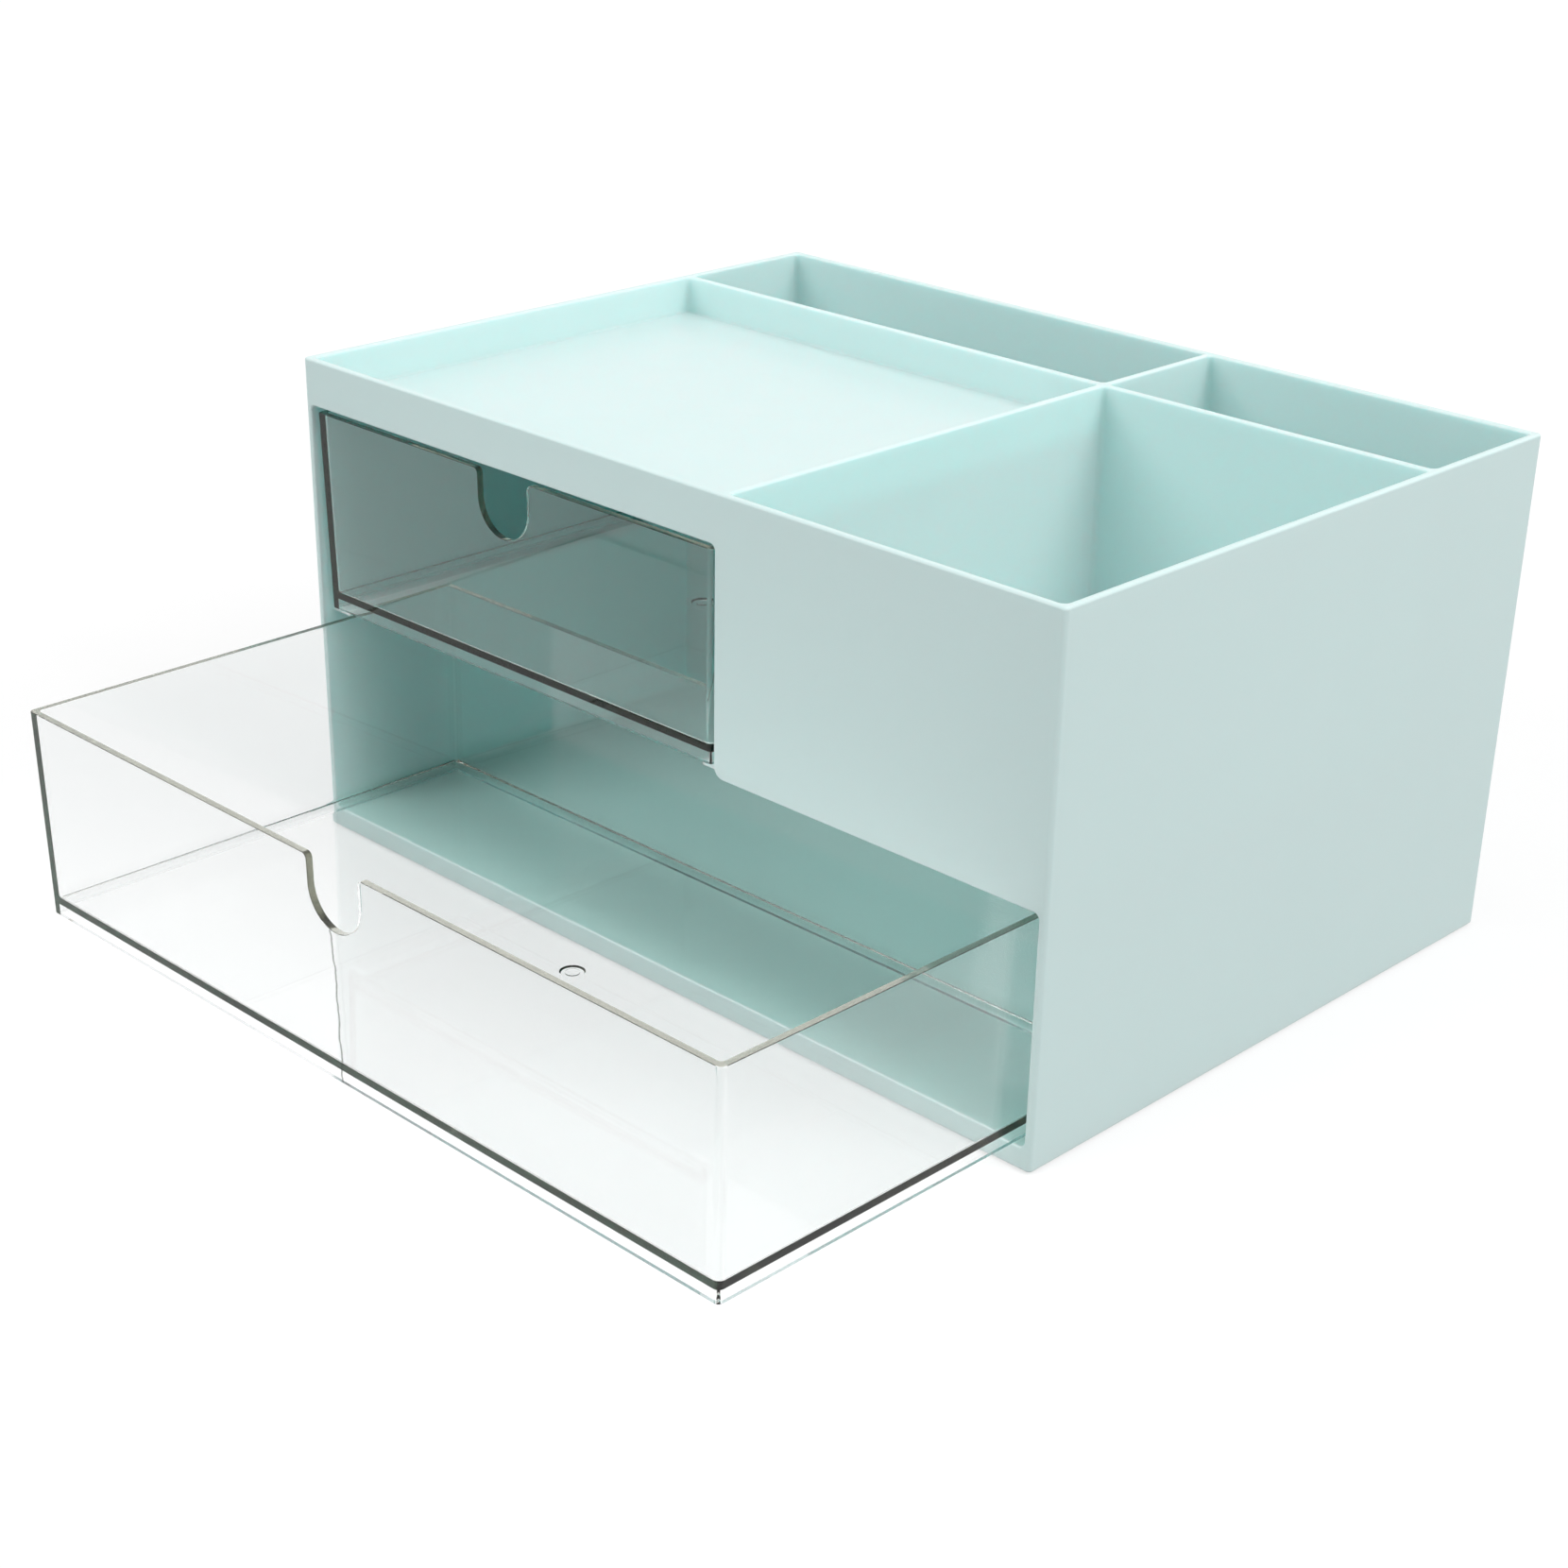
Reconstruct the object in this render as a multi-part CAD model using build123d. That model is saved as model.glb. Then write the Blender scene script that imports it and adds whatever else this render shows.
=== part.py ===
from math import radians, tan
import os

from build123d import *

# Desk organizer in millimetres. +Z is up, the drawers open towards -Y, and the origin is at the centre of
# the base, on the surface that the organizer stands on.

# Case: one moulding whose walls lean out a little towards the rim
case_width = 250.0
case_depth = 180.0
case_height = 131.0
wall = 2.0
case_draft = 0.42
case_corner_radius = 1.2
case_base_round = 0.6
rim_round = 0.65

# Top spaces: a shallow tray in front on the left, deep spaces in front on the right and along the back
divider = 1.8
tray_width = 149.2
front_space_depth = 131.7
tray_depth = 10.2
tray_floor = 2.0
pocket_corner_radius = 1.5
pocket_floor_round = 0.9

# Floor, drawer bays and the ledges that carry the upper drawer
floor_top = 5.6
floor_thickness = 2.0
lower_bay_height = 56.8
shelf_thickness = 2.0
bay_side_wall = 2.8
ledge_width = 7.0
ledge_thickness = 1.5
ledge_setback = 4.0
panel_corner_radius = 3.0
bay_corner_radius = 1.6
opening_round = 0.5

# Drawers: clear mouldings with a raised floor, a skirt below it and a finger notch in front
drawer_wall = 1.8
drawer_floor = 1.8
drawer_skirt = 2.5
drawer_draft = 1.2
drawer_corner_radius = 1.3
drawer_inside_corner_radius = 1.0
drawer_floor_round = 0.7
drawer_rim_bevel = 0.12
notch_width = 18.0
notch_depth = 16.0
notch_lip_radius = 1.5
gate_mark_radius = 3.2
gate_mark_depth = 0.4
gate_mark_setback = 2.5
gate_nub_radius = 1.8
gate_nub_height = 0.25

# Running room of the drawers
run_clearance = 0.3
upper_side_clearance = 1.3
lower_side_clearance = 2.2
upper_top_clearance = 1.8
lower_top_clearance = 2.3
front_recess = 1.0
rear_clearance = 0.7
lower_held_length = 42.5

# Anti-slip pads, each on a low round seat under the base
pad_radius = 5.0
pad_thickness = 2.0
pad_bevel = 0.4
pad_proud = 0.5
pad_seat_margin = 1.5
pad_inset = 14.0

# Overshoot of a cut beyond the face that it opens
cut_margin = 5.0

# Placing of a round block that stands on its own foot
standing = (Align.CENTER, Align.CENTER, Align.MIN)

# Heights and planes that follow from the sizes above
base_z = pad_proud
rim_z = base_z + case_height
floor_z = base_z + floor_top
lower_bay_top = floor_z + lower_bay_height
ledge_top = lower_bay_top + ledge_thickness
upper_bay_top = rim_z - tray_depth - tray_floor
front_y = -case_depth / 2
bay_back = front_y + wall + front_space_depth
tray_right = -case_width / 2 + wall + tray_width
bay_right = tray_right + divider - bay_side_wall


def lean(height, draft_angle):
    """How far a drafted wall moves sideways over a height."""
    return height * tan(radians(draft_angle))


def inner_half_width(z):
    """Half the clear width between the case's side walls at height z."""
    return case_width / 2 - wall - lean(rim_z - z, case_draft)


def span_block(low, high):
    """Box between two opposite corners."""
    size = [b - a for a, b in zip(low, high)]
    return Pos(*low) * Box(*size, align=(Align.MIN, Align.MIN, Align.MIN))


def tapered_block(centre, size, top_z, bottom_z, corner_radius, draft_angle):
    """Upright block with round corners whose stated size is at its top and which narrows downwards."""
    block = Box(*size, top_z - bottom_z, align=(Align.CENTER, Align.CENTER, Align.MAX))
    block = Pos(*centre, top_z) * block
    sides = block.faces().filter_by(lambda face: abs(face.normal_at().Z) < 0.5)
    block = draft(sides, Plane.XY.offset(top_z), -draft_angle)
    corners = block.edges().filter_by(lambda edge: abs(edge.tangent_at(0.5).Z) > 0.5)
    return fillet(corners, corner_radius)


def top_pocket(x_span, y_span, bottom_z):
    """Core of one space that is open at the rim."""
    centre = ((x_span[0] + x_span[1]) / 2, (y_span[0] + y_span[1]) / 2)
    size = (x_span[1] - x_span[0], y_span[1] - y_span[0])
    return tapered_block(centre, size, rim_z, bottom_z, pocket_corner_radius, case_draft)


def round_foot(core):
    """A space's core with the edge round its floor rounded."""
    floor_round = min(pocket_floor_round, 0.9 * pocket_corner_radius)
    return fillet(core.edges().group_by(Axis.Z)[0], floor_round)


def bay_core():
    """The space of both drawers: one L-shaped profile, seen from the front, pulled forward."""
    low = inner_half_width(floor_z)
    middle = inner_half_width(lower_bay_top)
    high = inner_half_width(upper_bay_top)
    corners = [
        (-low, floor_z),
        (low, floor_z),
        (middle, lower_bay_top),
        (bay_right, lower_bay_top),
        (bay_right, upper_bay_top),
        (-high, upper_bay_top),
    ]
    profile = Plane.XZ.offset(-bay_back) * make_face(Polyline(*corners, close=True))
    panel_corner = profile.vertices().sort_by_distance((bay_right, bay_back, lower_bay_top))[0]
    others = [vertex for vertex in profile.vertices() if vertex != panel_corner]
    profile = fillet(others, bay_corner_radius)
    panel_corner = profile.vertices().sort_by_distance((bay_right, bay_back, lower_bay_top))[0]
    profile = fillet(panel_corner, panel_corner_radius)
    return extrude(profile, amount=bay_back - front_y + cut_margin)


def pad_centres():
    """Name and plan position of each pad under the base."""
    x = case_width / 2 - pad_inset
    y = case_depth / 2 - pad_inset
    return {
        "foot_pad_front_left": (-x, -y),
        "foot_pad_front_right": (x, -y),
        "foot_pad_rear_left": (-x, y),
        "foot_pad_rear_right": (x, y),
    }


def make_case():
    """The mint moulding with its top spaces, drawer bays, ledges and hollow base."""
    corner_radius = min(case_corner_radius, 0.6 * wall)
    body = tapered_block((0, 0), (case_width, case_depth), rim_z, base_z, corner_radius, case_draft)
    base_round = min(case_base_round, 0.3 * wall, 0.9 * corner_radius)
    body = fillet(body.edges().group_by(Axis.Z)[0], base_round)

    left = -case_width / 2 + wall
    right = case_width / 2 - wall
    back_space = (bay_back + divider, case_depth / 2 - wall)
    front_space = (front_y + wall, bay_back)
    left_space = (left, tray_right)
    right_space = (tray_right + divider, right)
    body -= round_foot(top_pocket(left_space, front_space, rim_z - tray_depth))
    body -= round_foot(top_pocket(right_space, front_space, lower_bay_top + shelf_thickness))
    body -= top_pocket(left_space, back_space, floor_z)
    body -= top_pocket(right_space, back_space, floor_z)
    body -= bay_core()

    # Hollow under the floor, with a seat for each pad
    hollow_top = floor_z - floor_thickness
    foot = lean(case_height, case_draft) + wall
    hollow_size = (case_width - 2 * foot, case_depth - 2 * foot)
    body -= tapered_block((0, 0), hollow_size, hollow_top, base_z - cut_margin, corner_radius, -case_draft)
    seat_height = hollow_top - pad_thickness
    for x, y in pad_centres().values():
        seat = Cylinder(pad_radius + pad_seat_margin, seat_height, align=standing)
        body += Pos(x, y, pad_thickness) * seat

    # Ledges along both sides of the upper bay, level with the foot of the front panel
    ledge_front = front_y + ledge_setback
    ledge_back = bay_back + divider / 2
    ledge_side = inner_half_width(lower_bay_top)
    body += span_block(
        (-ledge_side - wall / 2, ledge_front, lower_bay_top),
        (-ledge_side + ledge_width, ledge_back, ledge_top),
    )
    body += span_block(
        (bay_right - ledge_width, ledge_front, lower_bay_top),
        (bay_right + bay_side_wall / 2, ledge_back, ledge_top),
    )

    front_face = body.faces().filter_by(lambda face: face.normal_at().Y < -0.9).sort_by(Axis.Y)[0]
    edge_round = min(opening_round, 0.3 * wall, 0.4 * tray_floor, 0.9 * bay_corner_radius)
    body = fillet(front_face.inner_wires()[0].edges(), edge_round)
    top_edges = body.edges().filter_by_position(Axis.Z, rim_z - 0.01, rim_z + 0.01)
    return fillet(top_edges, min(rim_round, 0.4 * wall, 0.4 * divider))


def make_drawer(width, length, height):
    """Clear drawer centred on the origin in plan, standing on z = 0 with its notch towards -Y."""
    body = tapered_block((0, 0), (width, length), height, 0, drawer_corner_radius, drawer_draft)
    inside_floor = drawer_skirt + drawer_floor
    inside_size = (width - 2 * drawer_wall, length - 2 * drawer_wall)
    inside_radius = drawer_inside_corner_radius
    inside = tapered_block((0, 0), inside_size, height, inside_floor, inside_radius, drawer_draft)
    floor_round = min(drawer_floor_round, 0.9 * inside_radius)
    body -= fillet(inside.edges().group_by(Axis.Z)[0], floor_round)

    foot = lean(height, drawer_draft) + drawer_wall
    under_size = (width - 2 * foot, length - 2 * foot)
    body -= extrude(Rectangle(*under_size), amount=drawer_skirt)

    # Finger notch with a full round foot and rounded lips
    notch_radius = notch_width / 2
    notch_centre = height - notch_depth + notch_radius
    notch_face = Pos(0, notch_centre) * Circle(notch_radius)
    notch_face += Pos(0, notch_centre) * Rectangle(
        notch_width, notch_depth, align=(Align.CENTER, Align.MIN)
    )
    notch_reach = lean(height, drawer_draft) + drawer_wall + cut_margin
    notch_plane = Plane.XZ.offset(length / 2 - notch_reach)
    body -= extrude(notch_plane * notch_face, amount=notch_reach + cut_margin)
    lips = body.edges().filter_by(Axis.Y).filter_by_position(Axis.Z, height - 0.01, height + 0.01)
    lips = lips.filter_by_position(Axis.X, -notch_radius - 0.01, notch_radius + 0.01)
    body = fillet(lips, notch_lip_radius)

    # Gate mark just behind the middle of the floor: a shallow dish with a low nub
    mark_place = Pos(0, gate_mark_setback, inside_floor - gate_mark_depth)
    mark_foot_radius = gate_mark_radius - gate_mark_depth
    body -= mark_place * Cone(mark_foot_radius, gate_mark_radius, gate_mark_depth, align=standing)
    body += mark_place * Cylinder(gate_nub_radius, gate_nub_height, align=standing)

    rim = body.faces().sort_by(Axis.Z)[-1]
    return chamfer(rim.edges(), min(drawer_rim_bevel, 0.3 * drawer_wall))


def make_upper_drawer():
    """The narrow drawer on the ledges, closed."""
    bottom = ledge_top + run_clearance
    top = upper_bay_top - upper_top_clearance
    left = -inner_half_width(top) + upper_side_clearance
    right = bay_right - upper_side_clearance
    front = front_y + front_recess
    back = bay_back - rear_clearance
    drawer = make_drawer(right - left, back - front, top - bottom)
    return Pos((left + right) / 2, (front + back) / 2, bottom) * drawer


def make_lower_drawer():
    """The full-width drawer on the case floor, pulled out."""
    bottom = floor_z + run_clearance
    top = lower_bay_top - lower_top_clearance
    half_width = inner_half_width(top) - lower_side_clearance
    length = bay_back - rear_clearance - front_y - front_recess
    back = front_y + lower_held_length
    return Pos(0, back - length / 2, bottom) * make_drawer(2 * half_width, length, top - bottom)


def make_pad(x, y):
    """Round anti-slip pad, glued to its seat and standing proud of the case's lower edge."""
    pad = Cylinder(pad_radius, pad_thickness, align=standing)
    pad = chamfer(pad.edges().group_by(Axis.Z)[0], pad_bevel)
    return Pos(x, y, 0) * pad


def main():
    os.makedirs("parts", exist_ok=True)
    nodes = {
        "case": make_case(),
        "upper_drawer": make_upper_drawer(),
        "lower_drawer": make_lower_drawer(),
    }
    for name, (x, y) in pad_centres().items():
        nodes[name] = make_pad(x, y)
    for name, shape in nodes.items():
        export_step(shape, os.path.join("parts", name + ".step"))


main()
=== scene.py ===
from math import cos, radians, sin

import bpy
from mathutils import Matrix, Vector

# Lengths are in metres, in the part's own frame: +Z is up and the drawers open towards -Y. Colours are
# linear. A grain is the noise's features per metre, and a relief is the strength and depth of a bump.
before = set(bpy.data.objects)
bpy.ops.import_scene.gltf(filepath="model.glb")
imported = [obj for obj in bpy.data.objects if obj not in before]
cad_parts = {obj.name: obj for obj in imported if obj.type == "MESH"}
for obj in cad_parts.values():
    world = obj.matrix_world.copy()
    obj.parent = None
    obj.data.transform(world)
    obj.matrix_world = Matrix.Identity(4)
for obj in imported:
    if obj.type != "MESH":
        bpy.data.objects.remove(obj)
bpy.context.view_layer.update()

# Camera, as the photograph was taken
CAMERA_PLACE = Vector((0.4465, -0.5016, 0.3213))
CAMERA_AZIMUTH = radians(44.04)
CAMERA_ELEVATION = radians(23.79)
CAMERA_ROLL = 0.0219
CAMERA_LENS = 64.17
CAMERA_SENSOR = 36.0
CAMERA_NEAR = 0.01

# Noise: levels of detail, and the span and middle of its values
NOISE_PLAIN = 1.0
NOISE_DETAIL = 2.0
NOISE_FINE = 3.0
NOISE_SPAN = (0.3, 0.7)
NOISE_MIDDLE = 0.5

# Mint moulding: two close tones and a satin skin
MINT = (0.648, 0.800, 0.790, 1.0)
MINT_DEEP = (0.636, 0.788, 0.778, 1.0)
MINT_TONE_GRAIN = 14.0
MINT_ROUGHNESS = (0.28, 0.36)
MINT_POLISH_GRAIN = 60.0
MINT_SKIN_GRAIN = 1900.0
MINT_SKIN_RELIEF = (0.08, 0.0002)
MINT_IOR = 1.5

# Light inside the mint plastic: its reach in red, green and blue, and what is left of it on the outer faces,
# which lie farther out than these values of x and y
GLOW_REACH = (0.60, 1.0, 0.96)
GLOW_SCALE = 0.0034
OUTER_GLOW = 0.15
OUTER_FACE = (0.1234, 0.0885)

# Bay floor, a thin plate over the hollow base, which has a painted glow in place of that light, lighter and
# more teal
# towards the back: the painted tints at its front and back, the y span between them, where they fade out in
# z and y, and the floor's back end
BAY_FLOOR_PAINTED_GLOW_FRONT = (0.538, 0.805, 0.765, 1.0)
BAY_FLOOR_PAINTED_GLOW_BACK = (0.550, 0.960, 0.910, 1.0)
BAY_FLOOR_SPAN = (-0.085, 0.020)
BAY_FLOOR_RISE = (0.0065, 0.0120)
BAY_FLOOR_EDGE = (-0.0898, -0.0880)
BAY_BACK = 0.0445

# Clear mouldings: tint of a face and of the depth, what a lamp's light keeps at each face, the polish and
# the flow waves, and the depth's density and the gloss of each drawer
CLEAR = (0.976, 0.983, 0.988, 1.0)
CLEAR_DEPTH = (0.30, 0.31, 0.17, 1.0)
CLEAR_SHADOW = (0.986, 0.990, 0.990, 1.0)
CLEAR_IOR = 1.45
CLEAR_ROUGHNESS = (0.012, 0.03)
CLEAR_POLISH_GRAIN = 25.0
CLEAR_FLOW_GRAIN = 9.0
CLEAR_FLOW_RELIEF = (0.03, 0.002)
UPPER_DENSITY = 26.0
LOWER_DENSITY = 15.0
UPPER_GLOSS = (0.85, 0.85, 0.85, 1.0)
LOWER_GLOSS = (1.0, 1.0, 1.0, 1.0)

# Weld line down the front of the lower drawer, from under its notch to its foot: x and z of each end, the y
# that the front wall lies before, the half width of its core and of its fade, and how it wanders
WELD_TOP = (-0.0020, 0.0446)
WELD_FOOT = (-0.0007, 0.0080)
WELD_FRONT = -0.1780
WELD_HALF_WIDTH = (0.00012, 0.00048)
WELD_WANDER = 0.0030
WELD_WANDER_GRAIN = 150.0
WELD_WANDER_STRETCH = (0.02, 0.02, 1.0)
WELD_SHADE = (0.10, 0.11, 0.10, 1.0)

# Pads
PAD = (0.55, 0.57, 0.56, 1.0)
PAD_DEEP = (0.50, 0.52, 0.51, 1.0)
PAD_TONE_GRAIN = 300.0
PAD_ROUGHNESS = 0.8
PAD_SKIN_GRAIN = 2500.0
PAD_SKIN_RELIEF = (0.3, 0.0002)

# Floor: two close tones, and the lift that makes it white, which grows with the distance from the middle
FLOOR = (0.33, 0.33, 0.33, 1.0)
FLOOR_DEEP = (0.32, 0.32, 0.32, 1.0)
FLOOR_TONE_GRAIN = 40.0
FLOOR_LIFT = (0.66, 0.73)
FLOOR_LIFT_SPAN = (0.3, 1.8)
FLOOR_HALF = 6.0
WHITE = (1.0, 1.0, 1.0, 1.0)

# Studio light: the room's level, and place, aim, size and power of each softbox
WORLD_LEVEL = 0.50
SOFTBOXES = {
    "top_softbox": ((0.6, 0.0, 4.2), (0.0, 0.0, 0.0), (3.0, 3.0), 30.0),
    "front_softbox": ((-1.6, -3.9, 2.4), (0.0, 0.0, 0.05), (2.4, 2.0), 68.0),
    "side_softbox": ((3.8, 0.6, 3.4), (0.0, 0.0, 0.08), (3.0, 2.4), 128.0),
    "back_softbox": ((1.0, 4.2, 2.8), (0.0, 0.0, 0.06), (2.4, 2.0), 26.0),
    "left_softbox": ((-4.3, -0.4, 2.8), (0.0, 0.0, 0.06), (2.4, 2.0), 16.0),
}

# Light runs far along the clear walls before it leaves at a rim
LIGHT_BOUNCES = 60


def new_material(name):
    """A material with one Principled shader, its node tree, that shader and the output."""
    material = bpy.data.materials.new(name)
    material.use_nodes = True
    tree = material.node_tree
    tree.nodes.clear()
    output = tree.nodes.new("ShaderNodeOutputMaterial")
    shader = tree.nodes.new("ShaderNodeBsdfPrincipled")
    tree.links.new(shader.outputs["BSDF"], output.inputs["Surface"])
    return material, tree, shader, output


def feed(tree, socket, value):
    """Give a socket a value or link another node's output to it."""
    if isinstance(value, bpy.types.NodeSocket):
        tree.links.new(value, socket)
    else:
        socket.default_value = value


def number(tree, operation, first, second=0.0):
    """Result of one sum on two values."""
    node = tree.nodes.new("ShaderNodeMath")
    node.operation = operation
    feed(tree, node.inputs[0], first)
    feed(tree, node.inputs[1], second)
    return node.outputs["Value"]


def largest(tree, *values):
    """The largest of several values."""
    result = values[0]
    for value in values[1:]:
        result = number(tree, "MAXIMUM", result, value)
    return result


def axes(tree):
    """The object's own x, y and z at each point."""
    place = tree.nodes.new("ShaderNodeTexCoord")
    parts = tree.nodes.new("ShaderNodeSeparateXYZ")
    tree.links.new(place.outputs["Object"], parts.inputs["Vector"])
    return parts.outputs["X"], parts.outputs["Y"], parts.outputs["Z"]


def noise(tree, grain, detail=NOISE_DETAIL, stretch=(1.0, 1.0, 1.0)):
    """Noise over the object's own coordinates."""
    place = tree.nodes.new("ShaderNodeTexCoord")
    spread = tree.nodes.new("ShaderNodeMapping")
    spread.inputs["Scale"].default_value = stretch
    texture = tree.nodes.new("ShaderNodeTexNoise")
    texture.inputs["Scale"].default_value = grain
    texture.inputs["Detail"].default_value = detail
    tree.links.new(place.outputs["Object"], spread.inputs["Vector"])
    tree.links.new(spread.outputs["Vector"], texture.inputs["Vector"])
    return texture.outputs["Fac"]


def remap(tree, value, source, target):
    """A value brought from one range to another, held at the ends."""
    node = tree.nodes.new("ShaderNodeMapRange")
    node.inputs["From Min"].default_value, node.inputs["From Max"].default_value = source
    node.inputs["To Min"].default_value, node.inputs["To Max"].default_value = target
    tree.links.new(value, node.inputs["Value"])
    return node.outputs["Result"]


def mix_colour(tree, factor, first, second):
    """Blend of two colours by a factor."""
    node = tree.nodes.new("ShaderNodeMix")
    node.data_type = "RGBA"
    feed(tree, node.inputs["A"], first)
    feed(tree, node.inputs["B"], second)
    tree.links.new(factor, node.inputs["Factor"])
    return node.outputs["Result"]


def bump(tree, height, relief):
    """Surface relief from a height value."""
    node = tree.nodes.new("ShaderNodeBump")
    node.inputs["Strength"].default_value, node.inputs["Distance"].default_value = relief
    tree.links.new(height, node.inputs["Height"])
    return node.outputs["Normal"]


def outer_face(tree):
    """1 on the outer faces of the case, 0 inside it."""
    x, y, _ = axes(tree)
    beside = number(tree, "GREATER_THAN", number(tree, "ABSOLUTE", x), OUTER_FACE[0])
    before = number(tree, "GREATER_THAN", number(tree, "ABSOLUTE", y), OUTER_FACE[1])
    return largest(tree, beside, before)


def off_painted_bay_floor(tree, outer):
    """0 on the bay floor, where its glow is painted, 1 elsewhere on the case."""
    _, y, z = axes(tree)
    above = remap(tree, z, BAY_FLOOR_RISE, (0.0, 1.0))
    front_edge = remap(tree, y, BAY_FLOOR_EDGE, (1.0, 0.0))
    behind = number(tree, "GREATER_THAN", y, BAY_BACK)
    return largest(tree, above, front_edge, behind, outer)


def painted_bay_floor_glow(tree):
    """Painted glow on the bay floor in place of the light through the plastic, from its front to its back.
    """
    _, y, _ = axes(tree)
    inward = remap(tree, y, BAY_FLOOR_SPAN, (0.0, 1.0))
    return mix_colour(tree, inward, BAY_FLOOR_PAINTED_GLOW_FRONT, BAY_FLOOR_PAINTED_GLOW_BACK)


def mint_plastic():
    """Satin mint moulding with a fine eroded skin, a little translucent, and a painted glow on the bay
    floor.
    """
    material, tree, shader, _ = new_material("mint_plastic")
    outer = outer_face(tree)
    lit = off_painted_bay_floor(tree, outer)
    moulded = mix_colour(tree, noise(tree, MINT_TONE_GRAIN), MINT, MINT_DEEP)
    # On the bay floor the colour is a painted glow in place of the light through the plastic, lighter
    # towards the back
    moulded_tone_and_painted_glow = mix_colour(tree, lit, painted_bay_floor_glow(tree), moulded)
    tree.links.new(moulded_tone_and_painted_glow, shader.inputs["Base Color"])
    polish = remap(tree, noise(tree, MINT_POLISH_GRAIN, NOISE_FINE), NOISE_SPAN, MINT_ROUGHNESS)
    tree.links.new(polish, shader.inputs["Roughness"])
    skin = bump(tree, noise(tree, MINT_SKIN_GRAIN), MINT_SKIN_RELIEF)
    tree.links.new(skin, shader.inputs["Normal"])
    shader.inputs["IOR"].default_value = MINT_IOR
    glow = number(tree, "MULTIPLY", lit, remap(tree, outer, (0.0, 1.0), (1.0, OUTER_GLOW)))
    tree.links.new(glow, shader.inputs["Subsurface Weight"])
    shader.inputs["Subsurface Radius"].default_value = GLOW_REACH
    shader.inputs["Subsurface Scale"].default_value = GLOW_SCALE
    return material


def weld_line(tree):
    """1 along the weld line on the drawer's front wall, 0 elsewhere."""
    x, y, z = axes(tree)
    rise = remap(tree, z, (WELD_FOOT[1], WELD_TOP[1]), (0.0, 1.0))
    bow = number(tree, "MULTIPLY", number(tree, "MULTIPLY", rise, rise), WELD_TOP[0] - WELD_FOOT[0])
    wave = noise(tree, WELD_WANDER_GRAIN, NOISE_FINE, WELD_WANDER_STRETCH)
    wander = number(tree, "MULTIPLY", number(tree, "SUBTRACT", wave, NOISE_MIDDLE), WELD_WANDER)
    line = number(tree, "ADD", number(tree, "ADD", bow, wander), WELD_FOOT[0])
    off = number(tree, "ABSOLUTE", number(tree, "SUBTRACT", x, line))
    core = remap(tree, off, WELD_HALF_WIDTH, (1.0, 0.0))
    on_front = number(tree, "LESS_THAN", y, WELD_FRONT)
    under_notch = number(tree, "LESS_THAN", z, WELD_TOP[1])
    return number(tree, "MULTIPLY", core, number(tree, "MULTIPLY", on_front, under_notch))


def let_lamps_through(tree, shader, output):
    """Let a lamp's light pass a clear face with little loss."""
    passed = tree.nodes.new("ShaderNodeBsdfTransparent")
    passed.inputs["Color"].default_value = CLEAR_SHADOW
    path = tree.nodes.new("ShaderNodeLightPath")
    choose = tree.nodes.new("ShaderNodeMixShader")
    tree.links.new(path.outputs["Is Shadow Ray"], choose.inputs["Fac"])
    tree.links.new(shader.outputs["BSDF"], choose.inputs[1])
    tree.links.new(passed.outputs["BSDF"], choose.inputs[2])
    tree.links.new(choose.outputs["Shader"], output.inputs["Surface"])


def clear_plastic(name, gloss, density, welded):
    """Clear polished moulding with slight flow waves, and a weld line if it has one."""
    material, tree, shader, output = new_material(name)
    if welded:
        shade = mix_colour(tree, weld_line(tree), CLEAR, WELD_SHADE)
        tree.links.new(shade, shader.inputs["Base Color"])
    else:
        shader.inputs["Base Color"].default_value = CLEAR
    shader.inputs["Transmission Weight"].default_value = 1.0
    shader.inputs["IOR"].default_value = CLEAR_IOR
    shader.inputs["Specular Tint"].default_value = gloss
    polish = remap(tree, noise(tree, CLEAR_POLISH_GRAIN, NOISE_FINE), NOISE_SPAN, CLEAR_ROUGHNESS)
    tree.links.new(polish, shader.inputs["Roughness"])
    flow = bump(tree, noise(tree, CLEAR_FLOW_GRAIN, NOISE_PLAIN), CLEAR_FLOW_RELIEF)
    tree.links.new(flow, shader.inputs["Normal"])
    let_lamps_through(tree, shader, output)
    depth = tree.nodes.new("ShaderNodeVolumeAbsorption")
    depth.inputs["Color"].default_value = CLEAR_DEPTH
    depth.inputs["Density"].default_value = density
    tree.links.new(depth.outputs["Volume"], output.inputs["Volume"])
    return material


def pad_rubber():
    """Matte soft pad."""
    material, tree, shader, _ = new_material("pad_rubber")
    tone = mix_colour(tree, noise(tree, PAD_TONE_GRAIN), PAD, PAD_DEEP)
    tree.links.new(tone, shader.inputs["Base Color"])
    shader.inputs["Roughness"].default_value = PAD_ROUGHNESS
    skin = bump(tree, noise(tree, PAD_SKIN_GRAIN), PAD_SKIN_RELIEF)
    tree.links.new(skin, shader.inputs["Normal"])
    return material


def seen(tree):
    """1 for what is seen, straight, mirrored or through clear plastic, and 0 for light on the object."""
    path = tree.nodes.new("ShaderNodeLightPath")
    rays = ("Is Camera Ray", "Is Glossy Ray", "Is Transmission Ray")
    return largest(tree, *[path.outputs[ray] for ray in rays])


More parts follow.
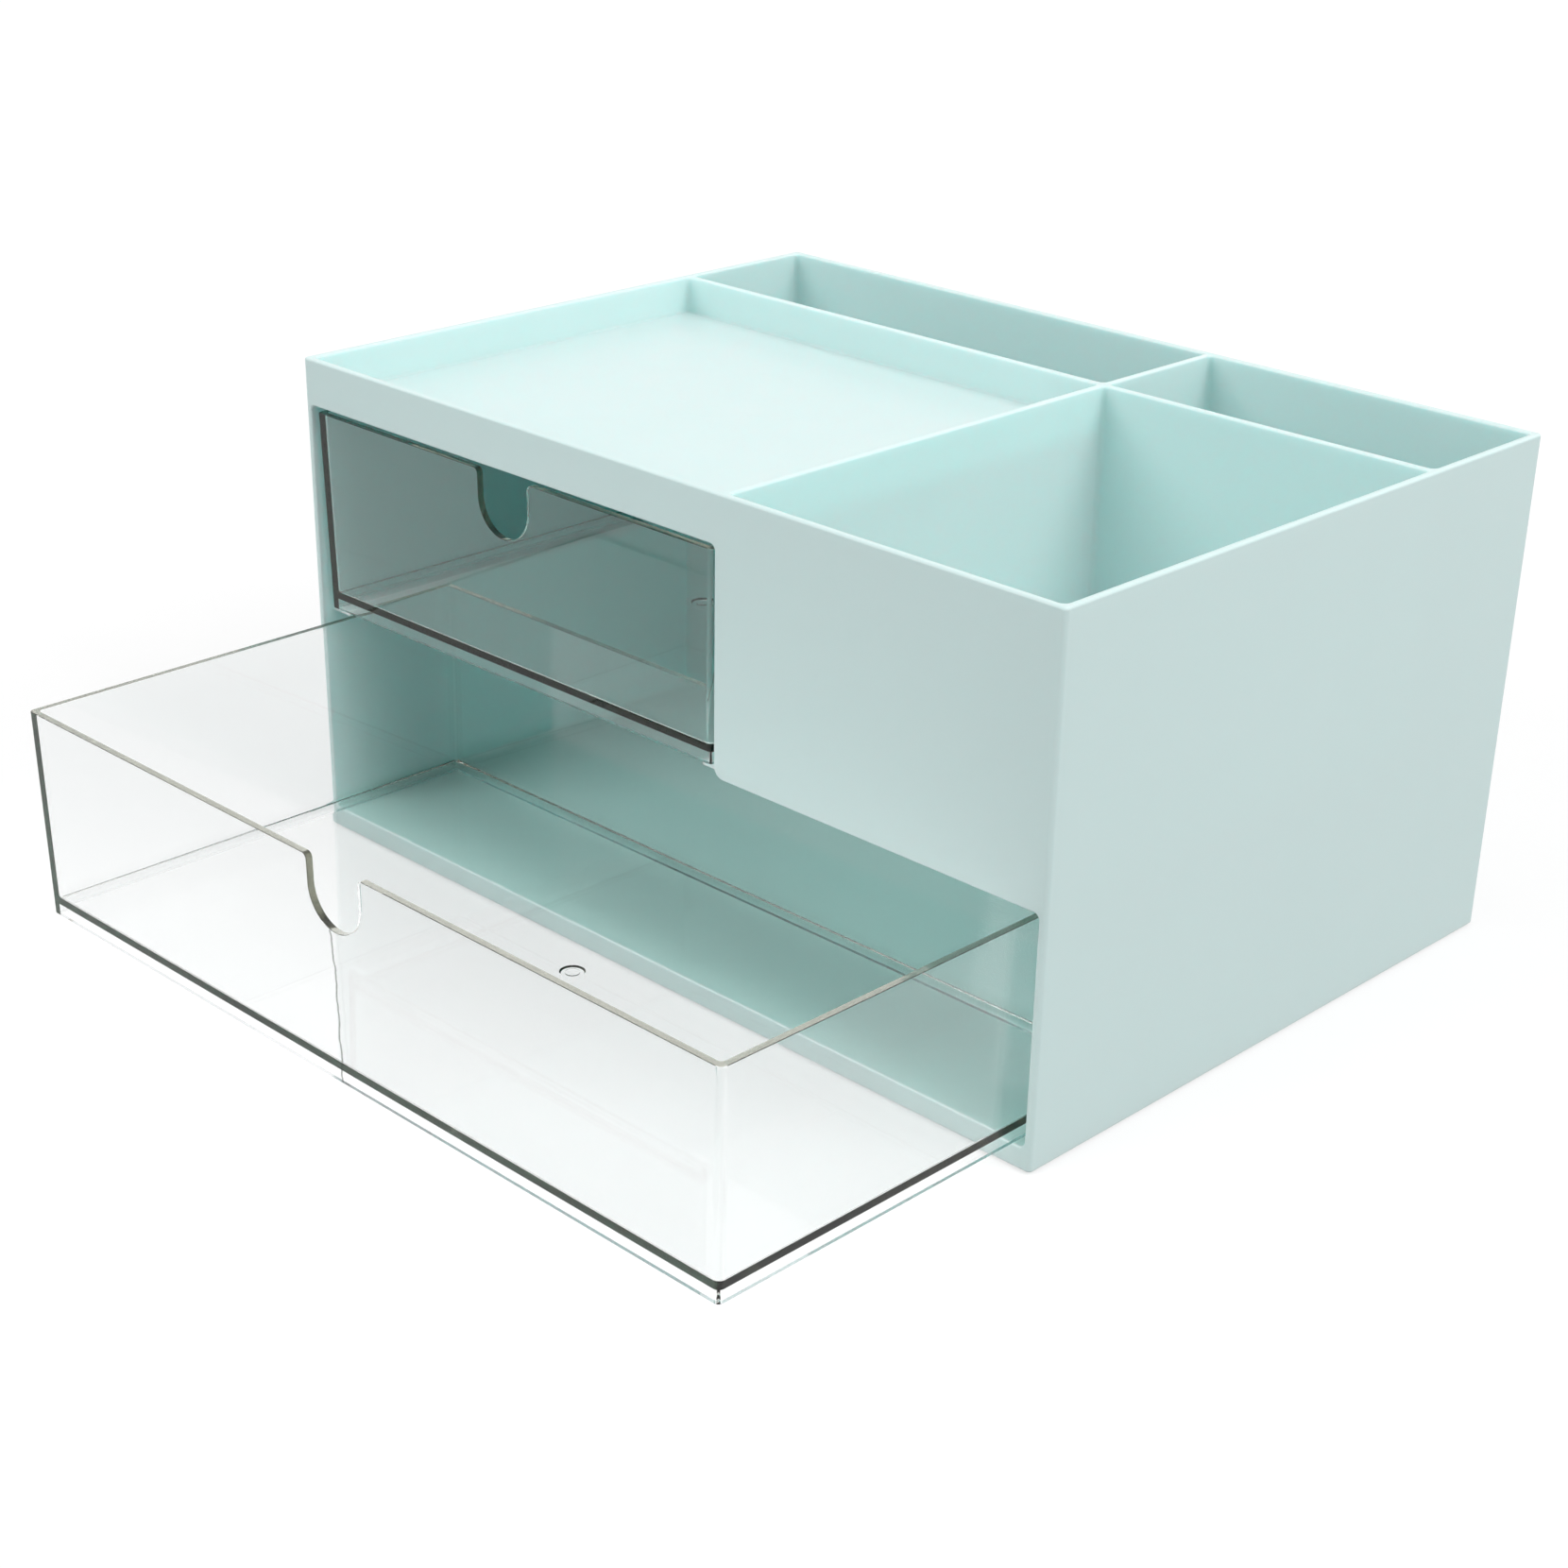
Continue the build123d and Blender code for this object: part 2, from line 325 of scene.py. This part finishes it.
def floor_material():
    """Pale matte floor that shows white round the object and keeps its shadow."""
    material, tree, shader, _ = new_material("floor")
    tone = mix_colour(tree, noise(tree, FLOOR_TONE_GRAIN), FLOOR, FLOOR_DEEP)
    tree.links.new(tone, shader.inputs["Base Color"])
    shader.inputs["Roughness"].default_value = 1.0
    shader.inputs["Specular IOR Level"].default_value = 0.0
    shader.inputs["Emission Color"].default_value = WHITE
    x, y, _ = axes(tree)
    squares = number(tree, "ADD", number(tree, "MULTIPLY", x, x), number(tree, "MULTIPLY", y, y))
    lift = remap(tree, number(tree, "SQRT", squares), FLOOR_LIFT_SPAN, FLOOR_LIFT)
    tree.links.new(number(tree, "MULTIPLY", seen(tree), lift), shader.inputs["Emission Strength"])
    return material


def link(thing):
    """Put an object in the scene."""
    bpy.context.scene.collection.objects.link(thing)


def add_floor():
    """Flat square floor under the object."""
    reach = FLOOR_HALF
    corners = [(-reach, -reach, 0), (reach, -reach, 0), (reach, reach, 0), (-reach, reach, 0)]
    mesh = bpy.data.meshes.new("floor")
    mesh.from_pydata(corners, [], [(0, 1, 2, 3)])
    mesh.materials.append(floor_material())
    floor = bpy.data.objects.new("floor", mesh)
    link(floor)


def add_camera():
    """The photograph's camera, from its place, its two angles and its roll."""
    back = Vector((
        sin(CAMERA_AZIMUTH) * cos(CAMERA_ELEVATION),
        -cos(CAMERA_AZIMUTH) * cos(CAMERA_ELEVATION),
        sin(CAMERA_ELEVATION),
    ))
    level = Vector((cos(CAMERA_AZIMUTH), sin(CAMERA_AZIMUTH), 0.0))
    upright = back.cross(level)
    right = cos(CAMERA_ROLL) * level + sin(CAMERA_ROLL) * upright
    up = -sin(CAMERA_ROLL) * level + cos(CAMERA_ROLL) * upright
    data = bpy.data.cameras.new("camera")
    data.sensor_width = CAMERA_SENSOR
    data.lens = CAMERA_LENS
    data.clip_start = CAMERA_NEAR
    camera = bpy.data.objects.new("camera", data)
    turn = Matrix((right, up, back)).transposed().to_4x4()
    camera.matrix_world = Matrix.Translation(CAMERA_PLACE) @ turn
    link(camera)
    bpy.context.scene.camera = camera


def add_softbox(name, place, aim, size, power):
    """One rectangular lamp, turned from its place to its aim."""
    data = bpy.data.lights.new(name, "AREA")
    data.shape = "RECTANGLE"
    data.size, data.size_y = size
    data.energy = power
    lamp = bpy.data.objects.new(name, data)
    towards = Vector(aim) - Vector(place)
    lamp.rotation_euler = towards.to_track_quat("-Z", "Y").to_euler()
    lamp.location = place
    link(lamp)


def add_world():
    """White room that lights the object at its own level."""
    world = bpy.data.worlds.new("studio")
    world.use_nodes = True
    tree = world.node_tree
    sky = tree.nodes["Background"]
    sky.inputs["Color"].default_value = WHITE
    level = remap(tree, seen(tree), (0.0, 1.0), (WORLD_LEVEL, 1.0))
    tree.links.new(level, sky.inputs["Strength"])
    bpy.context.scene.world = world


def dress():
    """Give each solid its finish."""
    rubber = pad_rubber()
    finish = {
        "case": mint_plastic(),
        "upper_drawer": clear_plastic("clear_plastic", UPPER_GLOSS, UPPER_DENSITY, welded=False),
        "lower_drawer": clear_plastic("clear_plastic_welded", LOWER_GLOSS, LOWER_DENSITY, welded=True),
    }
    for name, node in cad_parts.items():
        node.data.materials.clear()
        node.data.materials.append(finish.get(name, rubber))


def main():
    """Camera, light and floor round the dressed solids."""
    scene = bpy.context.scene
    scene.view_settings.view_transform = "Standard"
    scene.cycles.max_bounces = LIGHT_BOUNCES
    scene.cycles.transmission_bounces = LIGHT_BOUNCES
    scene.cycles.glossy_bounces = LIGHT_BOUNCES
    add_camera()
    add_world()
    for name, (place, aim, size, power) in SOFTBOXES.items():
        add_softbox(name, place, aim, size, power)
    add_floor()
    dress()


main()
